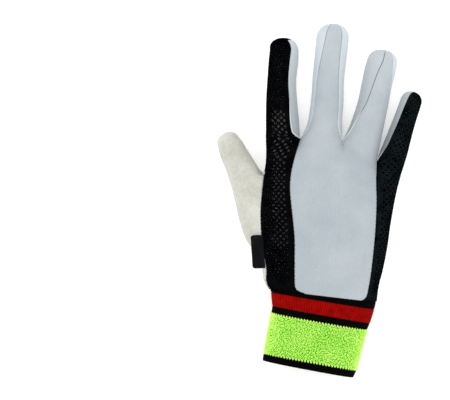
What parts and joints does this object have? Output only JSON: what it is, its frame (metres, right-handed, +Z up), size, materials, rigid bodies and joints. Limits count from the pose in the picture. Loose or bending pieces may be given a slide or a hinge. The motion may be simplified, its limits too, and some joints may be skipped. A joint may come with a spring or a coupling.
{
  "type": "wicketkeeping inner glove",
  "caption": "Hollow right-hand inner glove for wicketkeeping: leather palm and thumb, white stretch back, black mesh sides and a banded terry cuff, lying palm down.",
  "frame": {"origin": "centre of the footprint, on the surface that the palm lies on", "axes": "+X from thumb to little finger, +Y from cuff to fingertips, +Z up out of the back of the hand"},
  "size_m": [0.1418, 0.2446, 0.032],
  "materials": {
    "palm_leather": "soft white glove leather, suede-like",
    "thumb_leather": "soft cream glove leather",
    "stretch_knit": "smooth white stretch knit",
    "black_mesh": "open black air mesh",
    "side_knit": "smooth white stretch knit",
    "black_rib": "black elastic rib",
    "red_rib": "red elastic rib",
    "lime_terry": "lime terry loops",
    "label_satin": "black woven label"
  },
  "bodies": {
    "root": {"palm_leather": "palm_leather", "thumb_leather": "thumb_leather", "back_panel": "stretch_knit", "index_mesh_panel": "black_mesh", "little_mesh_panel": "black_mesh", "fourchette_index_middle": "side_knit", "fourchette_middle_ring": "side_knit", "fourchette_ring_little": "side_knit", "cuff_top_trim": "black_rib", "cuff_red_band": "red_rib", "cuff_middle_trim": "black_rib", "cuff_green_band": "lime_terry", "cuff_bottom_hem": "black_rib", "side_label": "label_satin"}
  },
  "joints": []
}
